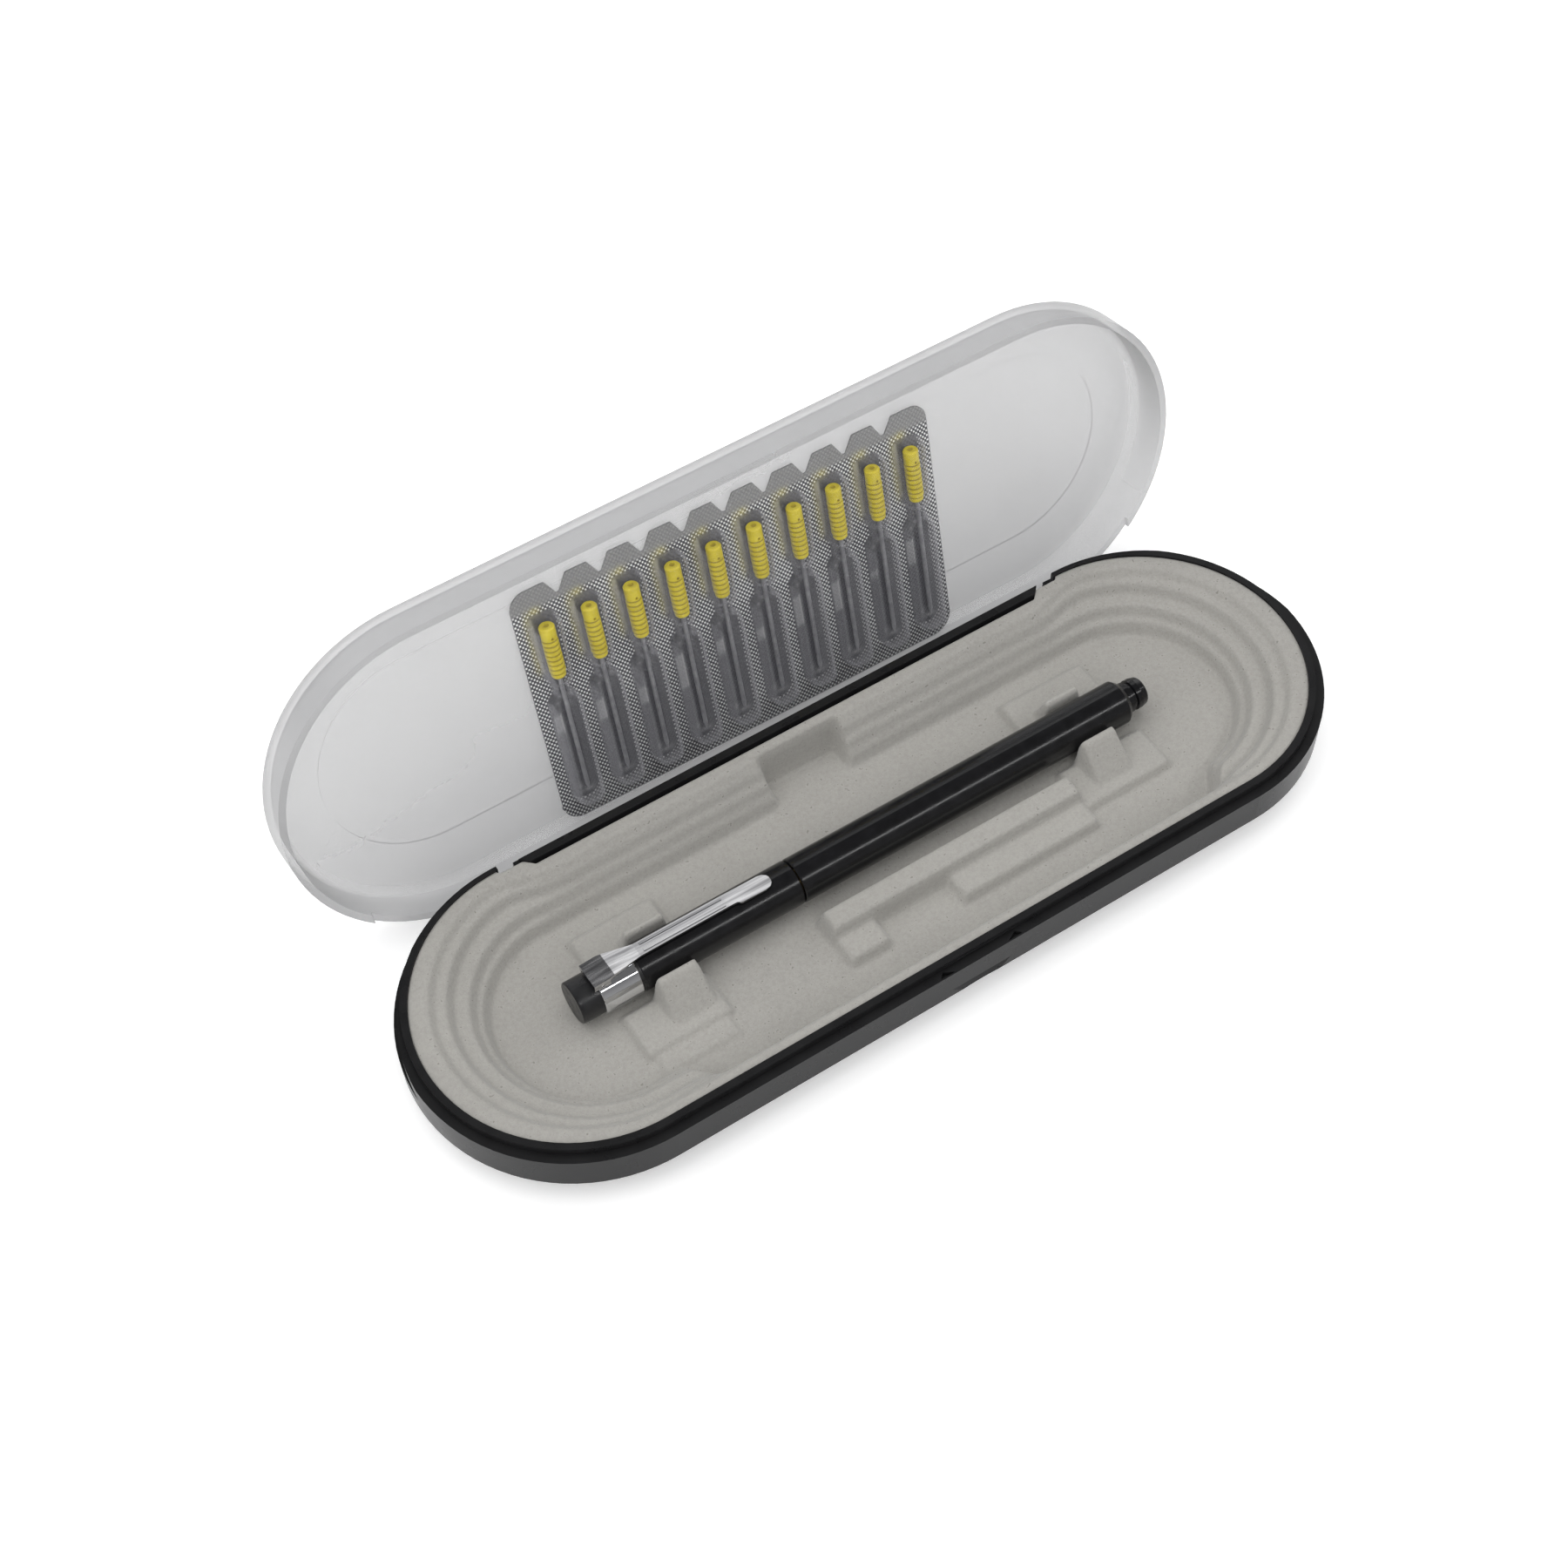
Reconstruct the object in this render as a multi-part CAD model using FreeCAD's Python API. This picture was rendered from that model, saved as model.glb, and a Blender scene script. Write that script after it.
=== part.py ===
import FreeCAD, Part
import math
import os

# Hinged carrying case with a clear lid, holding a pen-type needle holder in a terraced
# liner and a blister strip of ten hubbed needles standing inside the open lid.
# Millimetres, +Z up, X along the case, +Y towards the hinge.
# The origin is the centre of the flat underside of the case.

V = FreeCAD.Vector

# ---------------------------------------------------------------- driving sizes
case_length = 186.0            # overall length of the case outline
case_width = 64.14             # overall width of the case outline
case_height = 15.5             # table to the top of the rim lip
lip_thickness = 1.3            # upstanding rim lip
ledge_width = 1.7              # flat ledge outside the lip that the lid closes on
ledge_drop = 1.56              # lip top down to the ledge
outer_wall_drop = 8.64         # lip top down to where the underside starts to slope in
underside_inset = 6.0          # how far the sloping underside comes in
floor_thickness = 1.6          # floor of the case shell
flange_drop = 0.5              # lip top down to the liner flange
liner_thickness = 0.8          # formed liner sheet
flange_seat = 1.1              # width of the shoulder the liner flange sits on
liner_floor_drop = 9.2         # lip top down to the liner floor
rear_step = 4.9                # lip top down to the stepped rear wall
rear_thinning = 0.5            # the lip is this much thinner at the rear
strip_width = 1.6              # bar between the liner and the rear wall
strip_recess = 0.7             # open groove between that bar and the liner

hinge_axis_inset = 4.69        # hinge axis in from the outer rear face
hinge_axis_drop = 7.32         # hinge axis below the lip top
slot_centre_x = 58.5           # centre of each hinge slot
slot_width = 4.0               # width of each hinge slot
trunnion_radius = 1.2          # moulded pins on the lid ears
trunnion_clearance = 0.05      # radial running clearance of the pins
boss_radius = 2.7              # bored bosses inside the case
boss_width = 3.5               # length of each boss along the hinge
ear_hub_radius = 2.2           # round hub of each lid ear
lid_open_angle = 102.0         # how far the lid stands open
side_gap = 0.3                 # free space between separately moving pieces
seat_gap = 0.03                # free space between pieces that are assembled together

lid_wall = 1.37                # clear lid side wall
lid_panel = 1.3                # clear lid panel
lid_depth = 9.16               # rim of the lid to the outside of its panel
lid_corner = 2.9               # rounded corner round the panel
lid_rear_cut_x = 82.8          # the rim is cut back at the rear inside this half-length
lid_rear_cut = 0.98            # height of that cut above the rest of the rim

pen_radius = 4.3               # barrel of the holder
saddle_rise = 0.25             # saddles under the barrel above the liner floor
pen_y = 0.55                   # barrel axis towards the hinge from the middle of the case
plug_inset = 0.3               # the end plug is this much slimmer than the barrel
pen_rear_x = -62.3             # rear end of the holder
pen_front_x = 59.5             # front end of the holder
band_length = 7.5              # bright clip band
band_rear_x = -58.0            # rear edge of the band
collar_length = 0.6            # thin dark collar in front of the band
split_x = -17.5                # where the two barrels meet
barrel_front_x = 55.0          # front end of the front barrel
barrel_bore = 2.9              # bore of both barrels at their joints
sleeve_length = 19.0           # inner sleeve that joins the barrels
sleeve_running_gap = 0.07      # radial clearance of the sleeve in the front barrel
nose_radius = 3.0              # ridges on the nose
socket_clearance = 0.1         # radial room of a needle hub in the nose
socket_depth = 9.0             # depth of that bore
clip_turn = 3.0                # clip turned towards the hinge side from upright
clip_pin_radius = 0.3          # cross pin the clip turns on
clip_pin_x = -57.2             # position of that pin along the holder
clip_pin_rise = 0.15           # that pin stands this far above the barrel
clip_rise = 0.85               # top of the clip arm above the barrel
clip_box_rise = 0.42           # folded box of the clip above its arm
clip_sheet = 0.45              # clip sheet thickness
clip_tip_x = -22.0             # front tip of the clip

card_width = 85.9              # blister strip
card_height = 52.15            # blister strip, tear tabs included
card_centre_x = 1.0            # where the strip stands in the lid
card_foot_gap = 1.205          # lower edge of the strip to the inside of the lid wall
card_standoff = 5.28           # rim plane of the lid to the front of the foil
card_lean = 1.72               # degrees between the strip and the lid panel
card_turn = 0.74               # degrees the strip is turned in its own plane
card_corner = 4.0              # corner radius of the strip
cell_count = 10                # blister cells
cell_pitch = 8.4               # cell spacing
tab_height = 3.1               # tear tabs above the V notches
blister_sheet_t = 0.35         # formed clear sheet
foil_t = 0.2                   # foil backing
pocket_depth = 4.3             # pockets stand this far in front of the foil
hub_radius = 1.5               # needle hub over its ribs
hub_length = 11.2              # needle hub
hub_top = -18.6                # upper end of the hub below the strip centre
hub_ribs = 8                   # ribs round the hub
hub_groove = 0.3               # depth of the grooves between the ribs
shaft_radius = 0.42            # needle shaft
shaft_end = 19.5               # lower end of the shaft below the strip centre
shaft_embed = 4.0              # length of shaft inside the hub

# ---------------------------------------------------------------- derived sizes
outer_r = case_width / 2
half_straight = case_length / 2 - outer_r
rim_z = case_height
ledge_z = rim_z - ledge_drop
slope_z = rim_z - outer_wall_drop
lip_outer_r = outer_r - ledge_width
lip_inner_r = lip_outer_r - lip_thickness
flange_z = rim_z - flange_drop
seat_z = flange_z - liner_thickness
cavity_r = lip_inner_r - flange_seat
hinge_y = outer_r - hinge_axis_inset
hinge_z = rim_z - hinge_axis_drop
bore_r = trunnion_radius + trunnion_clearance
pen_axis_drop = liner_floor_drop - saddle_rise - side_gap - pen_radius
pen_z = rim_z - pen_axis_drop
pen_axis = V(0, pen_y, pen_z)
socket_radius = hub_radius + socket_clearance
plug_radius = pen_radius - plug_inset
clip_pin_height = pen_radius + clip_pin_rise
clip_height = pen_radius + clip_rise
lid_rim_z = ledge_z + side_gap
lid_top_z = lid_rim_z + lid_depth
lid_inner_r = outer_r - lid_wall
card_z = rim_z + card_standoff
card_centre_y = lid_inner_r - card_foot_gap - card_height / 2
hub_axis = -(hub_radius + 0.45)
split_front_x = split_x + side_gap


# ---------------------------------------------------------------- helpers
def box(x0, x1, y0, y1, z0, z1):
    return Part.makeBox(x1 - x0, y1 - y0, z1 - z0, V(x0, y0, z0))


def stadium_wire(a, r, z):
    low = Part.makeLine(V(-a, -r, z), V(a, -r, z))
    right = Part.Arc(V(a, -r, z), V(a + r, 0, z), V(a, r, z)).toShape()
    high = Part.makeLine(V(a, r, z), V(-a, r, z))
    left = Part.Arc(V(-a, r, z), V(-a - r, 0, z), V(-a, -r, z)).toShape()
    return Part.Wire([low, right, high, left])


def stadium(a, r, z0, z1):
    return Part.Face(stadium_wire(a, r, z0)).extrude(V(0, 0, z1 - z0))


def stadium_taper(a, r0, z0, r1, z1):
    return Part.makeLoft([stadium_wire(a, r0, z0), stadium_wire(a, r1, z1)], True, True)


def prism(points, direction):
    ring = [V(*p) for p in points]
    ring.append(ring[0])
    return Part.Face(Part.makePolygon(ring)).extrude(direction)


def fuse_all(shapes):
    if len(shapes) == 1:
        return shapes[0]
    return shapes[0].multiFuse(shapes[1:]).removeSplitter()


def turned(points):
    # profile of (x, radius) pairs revolved about the axis of the holder
    ring = [V(x, pen_y, pen_z + r) for x, r in points]
    ring.append(ring[0])
    return Part.Face(Part.makePolygon(ring)).revolve(pen_axis, V(1, 0, 0), 360)


def tipped(shape):
    # turns a clip piece drawn upright on the axis x = any, y = 0 to its place on the holder
    shape.rotate(V(0, 0, pen_z), V(1, 0, 0), -clip_turn)
    shape.translate(V(0, pen_y, 0))
    return shape


def edges_at(shape, z):
    picked = []
    for edge in shape.Edges:
        b = edge.BoundBox
        if abs(b.ZMin - z) < 1e-4 and abs(b.ZMax - z) < 1e-4:
            picked.append(edge)
    return picked


def rounded_wire(width, y0, y1, radius, z, taper=0.0):
    # outline symmetric in x, rounded corners, optionally narrower at y1
    w0 = width / 2
    w1 = w0 - taper
    pts = [(-w0, y0), (w0, y0), (w1, y1), (-w1, y1)]
    face = Part.Face(Part.makePolygon([V(x, y, z) for x, y in pts + pts[:1]]))
    solid = face.extrude(V(0, 0, 1))
    posts = [e for e in solid.Edges if abs(e.BoundBox.ZLength - 1) < 1e-6]
    solid = solid.makeFillet(radius, posts)
    for f in solid.Faces:
        b = f.BoundBox
        if abs(b.ZMin - z) < 1e-6 and abs(b.ZMax - z) < 1e-6:
            return f.OuterWire
    return None


def pocket(width, y0, y1, radius, depth, inset, grow, taper=0.0):
    # one blister pocket: outline at the sheet narrowing to its front wall
    top = rounded_wire(width + 2 * grow, y0 - grow, y1 + grow, radius + grow, 0, taper)
    w2 = width + 2 * grow - 2 * inset
    low = rounded_wire(w2, y0 - grow + inset, y1 + grow - inset, radius + grow - inset * 0.5,
                       -depth, taper)
    return Part.makeLoft([top, low], True, True)


def place_with_lid(shape):
    shape = shape.copy()
    shape.rotate(V(0, hinge_y, hinge_z), V(1, 0, 0), -lid_open_angle)
    return shape


def place_card(shape):
    shape = shape.copy()
    shape.rotate(V(0, 0, 0), V(0, 0, 1), card_turn)
    shape.rotate(V(0, 0, 0), V(1, 0, 0), -card_lean)
    shape.translate(V(card_centre_x, card_centre_y, card_z))
    return place_with_lid(shape)


def save(name, shape):
    solids = shape.Solids
    if len(solids) == 1:
        shape = solids[0]
    print(name, len(solids), shape.isValid(), round(shape.Volume, 1))
    shape.exportStep("parts/" + name + ".step")


# ---------------------------------------------------------------- case shell
strip_half = slot_centre_x - slot_width / 2
strip_rear = lip_inner_r - 0.07
strip_front = strip_rear - strip_width
slot_outer = slot_centre_x + slot_width / 2
flange_rear_y = lip_inner_r - 0.67


def hinge_strip(y0, grow, z0, z1):
    # long bar in front of the hinge, its ends cut back towards the liner
    back = strip_half - 0.1 + grow
    front = back - (strip_rear + grow - y0)
    return prism([(-back, strip_rear + grow, z0), (-front, y0, z0), (front, y0, z0),
                  (back, strip_rear + grow, z0)], V(0, 0, z1 - z0))


def base_shell():
    body = stadium(half_straight, outer_r, slope_z, ledge_z)
    low = stadium_taper(half_straight, outer_r - underside_inset, 0, outer_r, slope_z)
    lip = stadium(half_straight, lip_outer_r, ledge_z - 0.5, rim_z)
    outer = fuse_all([body, low, lip])
    upper = stadium(half_straight, lip_inner_r, seat_z, rim_z + 1)
    middle = stadium(half_straight, cavity_r, slope_z, seat_z + 0.1)
    floor_r = cavity_r - underside_inset * 0.75
    hollow = stadium_taper(half_straight, floor_r, floor_thickness, cavity_r, slope_z)
    shell = outer.cut(fuse_all([upper, middle, hollow]))
    # the lip stops at the rear between the hinge slots
    shell = shell.cut(box(-slot_outer, slot_outer, lip_inner_r - 2, outer_r + 1, ledge_z, rim_z + 1))
    # the rear wall steps down behind the lip so the open lid lies close to it
    rear_low = rim_z - rear_step
    shift = ledge_width + rear_thinning
    behind = box(-case_length, case_length, -shift / 2, outer_r + 1, rear_low, rim_z + 1)
    kept = stadium(half_straight, outer_r, rear_low - 1, rim_z + 2)
    kept.translate(V(0, -shift, 0))
    shell = shell.cut(behind.cut(kept))
    shell = shell.cut(box(-slot_outer, slot_outer, strip_rear, outer_r + 1, rear_low, rim_z + 1))
    # hinge strip and the bored bosses that carry the lid
    strip = hinge_strip(strip_front, 0, rim_z - 6, rim_z - 0.05)
    strip_foot = box(-strip_half, strip_half, strip_front, cavity_r + 0.5, rim_z - 6, seat_z - 0.5)
    shell = fuse_all([shell, strip, strip_foot])
    for side in (-1, 1):
        for inner in (strip_half - boss_width, slot_outer):
            x0 = min(side * inner, side * (inner + boss_width))
            boss = Part.makeCylinder(boss_radius, boss_width, V(x0, hinge_y, hinge_z), V(1, 0, 0))
            web = box(x0, x0 + boss_width, hinge_y, cavity_r + 0.5, hinge_z - boss_radius,
                      hinge_z + boss_radius)
            shell = fuse_all([shell, boss, web])
    for side in (-1, 1):
        slot = box(side * slot_centre_x - slot_width / 2, side * slot_centre_x + slot_width / 2,
                   hinge_y - ear_hub_radius - 0.7, outer_r + 1, rim_z - 12.5, rim_z + 1)
        shell = shell.cut(slot)
        x0 = min(side * (strip_half - 2.4), side * (slot_outer + 2.4))
        bore = Part.makeCylinder(bore_r, slot_width + 4.8, V(x0, hinge_y, hinge_z), V(1, 0, 0))
        shell = shell.cut(bore)
    # thumb scoop that runs out down the front wall, with a small relief at each end
    scoop_half = 7.95
    scoop_depth = 1.15
    scoop_run = 5.2
    scoop_r = (scoop_half ** 2 + scoop_depth ** 2) / (2 * scoop_depth)
    lean = scoop_depth / scoop_run
    foot = V(0.25, -outer_r + scoop_depth - 8 * lean - scoop_r, ledge_z - 8)
    scoop = Part.makeCylinder(scoop_r, 9, foot, V(0, lean, 1))
    shell = shell.cut(scoop)
    for side in (-1, 1):
        xe = 0.25 + side * scoop_half
        relief = prism([(xe - side * 2.4, -outer_r + 0.25, ledge_z - 0.9),
                        (xe + side * 0.6, -outer_r + 0.35, ledge_z - 0.9),
                        (xe - side * 0.4, -outer_r + 1.3, ledge_z - 0.9)], V(0, 0, 1.4))
        shell = shell.cut(relief)
    # shallow latch bead on the lip
    bead = box(-7.0, 8.0, -lip_outer_r - 0.14, -lip_outer_r + 0.3, rim_z - 1.0, rim_z - 0.5)
    return fuse_all([shell, bead])


# ---------------------------------------------------------------- tray liner
# levels from the flange down: half-length, radius, height below the lip, rear and front limits
wall_r = lip_inner_r
bar_y = strip_front
liner_levels = (
    (half_straight, wall_r - 2.2, flange_drop, bar_y - 2.2, wall_r - 2.2),
    (half_straight - 1.83, wall_r - 2.37, 1.8, bar_y - 3.6, wall_r - 2.37),
    (half_straight - 2.83, wall_r - 4.47, 4.0, bar_y - 5.2, wall_r - 3.07),
    (half_straight - 2.83, wall_r - 8.07, 6.3, bar_y - 7.0, wall_r - 3.77),
    (half_straight - 2.63, wall_r - 10.27, liner_floor_drop, bar_y - 8.7, wall_r - 4.47),
)
rear_half = strip_half + liner_thickness + side_gap
front_x0 = -50.0
front_x1 = half_straight - 1.93
liner_floor_z = rim_z - liner_floor_drop
post_drop = 1.7
post_gap = side_gap
post_inner = pen_radius + post_gap
post_near = pen_y - post_inner
post_far = pen_y + post_inner


def liner_level(level, grow, top_z):
    a, r, drop, rear, front = level
    z0 = rim_z - drop - grow
    plan = stadium(a, r + grow, z0, top_z)
    plan = plan.cut(box(-rear_half + grow, rear_half - grow, rear + grow, 40, z0 - 1, top_z + 1))
    if front > r:
        plan = plan.fuse(box(front_x0 - grow, front_x1 + grow, -front - grow, 0, z0, top_z))
    return plan


def cradle_post(x0, x1):
    z0 = liner_floor_z - 0.2
    z1 = rim_z - post_drop
    near = prism([(x0, post_near, z0), (x0, post_near, z1), (x0, post_near - 1.6, z1),
                  (x0, post_near - 9.3, z0)], V(x1 - x0, 0, 0))
    far = prism([(x0, post_far, z0), (x0, post_far, z1), (x0, post_far + 1.5, z1),
                 (x0, post_far + 4.6, z0)], V(x1 - x0, 0, 0))
    saddle_z = pen_z - pen_radius - side_gap
    saddle = box(x0, x1, post_near - 0.1, post_far + 0.1, z0, saddle_z)
    return [near, far, saddle]


def tray_liner():
    skins = [liner_level(level, liner_thickness, flange_z - 0.2) for level in liner_levels[1:]]
    flange = stadium(half_straight, lip_inner_r - seat_gap, seat_z, flange_z)
    flange = flange.cut(box(-slot_outer, slot_outer, flange_rear_y, 40, 0, rim_z + 1))
    flange = flange.cut(hinge_strip(strip_front - strip_recess, 0.1, 0, rim_z + 1))
    flange = flange.cut(box(-strip_half + 1, strip_half - 1, strip_rear - 1, 40, 0, rim_z + 1))
    body = fuse_all([flange] + skins)
    holes = [liner_level(level, 0, rim_z + 1) for level in liner_levels[1:]]
    rear_recess = box(-9, 7, 6, liner_levels[1][3], liner_floor_z, rim_z + 1)
    rear_skin = box(-9.8, 7.8, 6, liner_levels[1][3] + liner_thickness,
                    liner_floor_z - liner_thickness, flange_z - 0.2)
    body = fuse_all([body, rear_skin])
    body = body.cut(fuse_all(holes + [rear_recess]))
    extra = cradle_post(-49.0, -40.3) + cradle_post(41.3, 49.4)
    z0 = liner_floor_z - 0.2
    extra.append(box(-56, -39, -14, -5, z0, liner_floor_z + 1.7))
    extra.append(box(-55, -40, -18, -13, z0, liner_floor_z + 0.8))
    extra.append(box(37, 56, -14, -5, z0, liner_floor_z + 1.7))
    extra.append(box(37, 56, 5, 14, z0, liner_floor_z + 1.7))
    extra.append(box(-56, -39, 5, 14, z0, liner_floor_z + 1.7))
    # two-step ridge along the near side of the holder
    ridge = box(-17, 37, -12, -7, z0, rim_z - 4.5)
    ridge = ridge.cut(box(4.6, 6.6, -13, -10.8, z0 + 1, rim_z))
    extra.append(ridge)
    extra.append(box(-17, -8.5, -17.4, -11.5, z0, rim_z - 7.0))
    extra.append(box(7, 37, -17.4, -11.5, z0, rim_z - 7.0))
    return fuse_all([body] + extra)


# ---------------------------------------------------------------- clear lid
def lid_closed():
    outer = stadium(half_straight, outer_r, lid_rim_z, lid_top_z)
    outer = outer.makeFillet(lid_corner, edges_at(outer, lid_top_z))
    inner = stadium(half_straight, lid_inner_r, lid_rim_z - 1, lid_top_z - lid_panel)
    inner = inner.makeFillet(lid_corner - lid_panel, edges_at(inner, lid_top_z - lid_panel))
    shell = outer.cut(inner)
    # shallow oval step in the outside of the panel
    oval = stadium(half_straight + 1.1, 20.2, lid_top_z - 0.25, lid_top_z + 1)
    shell = shell.cut(oval)
    # the rim is cut back at the rear so it swings clear of the case
    cut = box(-lid_rear_cut_x, lid_rear_cut_x, 12, outer_r + 1, lid_rim_z - 1, lid_rim_z + lid_rear_cut)
    shell = shell.cut(cut)
    # front catch rib
    catch = box(-6.6, 8.5, -lid_inner_r - 0.3, -lid_inner_r + 0.1, lid_rim_z, lid_rim_z + 0.5)
    parts = [shell, catch]
    ear_half = slot_width / 2 - side_gap
    for side in (-1, 1):
        x0 = side * slot_centre_x - ear_half
        hub = Part.makeCylinder(ear_hub_radius, 2 * ear_half, V(x0, hinge_y, hinge_z), V(1, 0, 0))
        arm = prism([(x0, hinge_y - 1.0, hinge_z + 1.9), (x0, lid_inner_r - 0.6, lid_rim_z + 2.4),
                     (x0, outer_r - 0.2, lid_rim_z + 2.4), (x0, outer_r - 0.2, lid_rim_z - 0.9),
                     (x0, hinge_y + 2.0, hinge_z - 0.9)], V(2 * ear_half, 0, 0))
        pin = Part.makeCylinder(trunnion_radius, slot_width + 4.0,
                                V(side * slot_centre_x - slot_width / 2 - 2.0, hinge_y, hinge_z), V(1, 0, 0))
        parts += [hub, arm, pin]
    return fuse_all(parts)


# ---------------------------------------------------------------- pen-type holder
def end_plug():
    r = plug_radius
    bore = barrel_bore - seat_gap
    x = pen_rear_x
    return turned([(x, 0), (x, r - 0.22), (x + 0.08, r - 0.08), (x + 0.25, r),
                   (band_rear_x, r), (band_rear_x, bore), (band_rear_x + 4.5, bore),
                   (band_rear_x + 4.8, bore - 0.3), (band_rear_x + 4.8, 0)])


neck_r = pen_radius - 0.58
band_front_x = band_rear_x + band_length
collar_front_x = band_front_x + collar_length


def barrel_rear():
    r = pen_radius
    return turned([(band_rear_x, barrel_bore), (band_rear_x, neck_r), (collar_front_x, neck_r),
                   (collar_front_x, r - 0.1), (collar_front_x + 0.15, r), (split_x - 0.2, r),
                   (split_x, r - 0.15), (split_x, barrel_bore)])


def clip_band():
    inner = neck_r + seat_gap
    r = pen_radius + 0.1
    ring = turned([(band_rear_x, inner), (band_rear_x, r - 0.12), (band_rear_x + 0.15, r),
                   (band_front_x - 0.15, r), (band_front_x, r - 0.12), (band_front_x, inner)])
    lug = box(clip_pin_x - 0.75, clip_pin_x + 0.75, -1.8, 1.8, pen_z + neck_r + 0.2,
              pen_z + clip_pin_height + clip_pin_radius)
    pin = Part.makeCylinder(clip_pin_radius, 5.2, V(clip_pin_x, -2.6, pen_z + clip_pin_height), V(0, 1, 0))
    lug = tipped(fuse_all([lug, pin]))
    return fuse_all([ring, lug])


def collar_ring():
    inner = neck_r + seat_gap
    r = pen_radius - 0.12
    return turned([(band_front_x, inner), (band_front_x, r), (collar_front_x, r), (collar_front_x, inner)])


def joint_sleeve():
    rear = split_x - sleeve_length / 2
    front = split_x + sleeve_length / 2
    r0 = barrel_bore - seat_gap
    r1 = barrel_bore - sleeve_running_gap
    wall = 0.7
    return turned([(rear, r0 - wall), (rear, r0), (split_x, r0), (split_x, r1), (front - 0.4, r1),
                   (front, r1 - 0.3), (front, r0 - wall)])


spigot_length = 8.5


def barrel_front():
    r = pen_radius
    deep = split_x + sleeve_length / 2 + 1.5
    seat = barrel_front_x - spigot_length
    return turned([(split_front_x, barrel_bore), (split_front_x, r - 0.15), (split_front_x + 0.2, r),
                   (barrel_front_x - 0.8, r), (barrel_front_x, r - 0.6), (barrel_front_x, barrel_bore),
                   (seat - 0.3, barrel_bore), (seat - 0.3, 1.2), (deep, 1.2), (deep, barrel_bore)])


def nose_socket():
    r = nose_radius
    s = barrel_bore - seat_gap
    seat = barrel_front_x - spigot_length
    x0 = barrel_front_x + 0.02
    x1 = pen_front_x
    return turned([(seat, 0), (seat, s), (x0, s), (x0, r), (x0 + 1.3, r), (x0 + 1.5, r - 0.4),
                   (x0 + 2.0, r - 0.4), (x0 + 2.2, r), (x1 - 1.3, r), (x1 - 0.25, r - 0.25),
                   (x1, r - 0.45), (x1, socket_radius), (x1 - socket_depth, socket_radius),
                   (x1 - socket_depth, 0)])


def clip_arm():
    top = clip_height
    t = clip_sheet
    tip_dip = clip_height - pen_radius - t - 0.07
    box_top = top + clip_box_rise
    x0 = clip_pin_x - 1.6
    x1 = clip_pin_x + 1.5
    xa = x1 + 6.7
    xt = clip_tip_x
    side = prism([(x0, -4, pen_z + box_top - 0.3), (x1 + 1.0, -4, pen_z + box_top), (xa, -4, pen_z + top),
                  (xt - 9.0, -4, pen_z + top), (xt - 4.0, -4, pen_z + top - tip_dip + 0.1),
                  (xt, -4, pen_z + top - tip_dip), (xt, -4, pen_z + top - tip_dip - t),
                  (xt - 4.2, -4, pen_z + top - tip_dip + 0.1 - t), (xt - 9.2, -4, pen_z + top - t),
                  (xa, -4, pen_z + top - t), (x1 + 1.0, -4, pen_z + box_top - t),
                  (x0, -4, pen_z + box_top - 0.3 - t)], V(0, 8, 0))
    near = ((x0, 2.7), (x1, 2.7), (xa, 1.5), (xt - 7.4, 1.35), (xt - 7.0, 1.7), (xt - 6.4, 1.85), (xt - 1.8, 1.85),
            (xt - 0.8, 1.6), (xt - 0.2, 1.0), (xt, 0.4))
    far = ((x0, 2.7), (x1, 2.7), (xa, 1.4), (xt - 8.3, 1.4), (xt - 1.8, 1.5), (xt - 0.8, 1.3), (xt - 0.2, 0.8),
           (xt, 0.3))
    ring = [(x, -h, pen_z) for x, h in near] + [(x, h, pen_z) for x, h in reversed(far)]
    plan = prism(ring, V(0, 0, 12))
    arm = side.common(plan)
    cheeks = []
    hole_r = clip_pin_radius + 0.05
    for s in (-1, 1):
        y0 = min(s * 2.15, s * 2.7)
        cheek = box(x0, x1, y0, y0 + 0.55, pen_z + pen_radius - 0.35,
                    pen_z + box_top - 0.45)
        cheeks.append(cheek)
    end = box(x0, x0 + 0.45, -2.7, 2.7, pen_z + pen_radius + side_gap, pen_z + box_top - 0.45)
    ribs = [box(xa + 1.0, xt - 9.5, s * 0.8 - 0.2, s * 0.8 + 0.2, pen_z + top - 0.1, pen_z + top + 0.14)
            for s in (-1, 1)]
    clip = fuse_all([arm, end] + cheeks + ribs)
    hole = Part.makeCylinder(hole_r, 8, V(clip_pin_x, -4, pen_z + clip_pin_height), V(0, 1, 0))
    return tipped(clip.cut(hole))


# ---------------------------------------------------------------- blister strip
def card_plate(z0, z1):
    # plate with rounded corners and ten tabs parted by V notches along its upper edge
    half_w = card_width / 2
    top = -card_height / 2 + 0.22
    low = top + card_height
    valley = top + tab_height
    plate = Part.Face(rounded_wire(card_width, top, low, card_corner, z0)).extrude(V(0, 0, z1 - z0))
    notches = []
    for i in range(cell_count - 1):
        xc = -(cell_count / 2 - 1) * cell_pitch + i * cell_pitch
        notch = prism([(xc - 2.1, top - 0.1, z0 - 1), (xc + 2.1, top - 0.1, z0 - 1), (xc + 0.25, valley, z0 - 1),
                       (xc - 0.25, valley, z0 - 1)], V(0, 0, z1 - z0 + 2))
        notches.append(notch)
    return plate.cut(Part.makeCompound(notches)), half_w


def cell_x(i):
    return (i - (cell_count - 1) / 2) * cell_pitch


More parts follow.
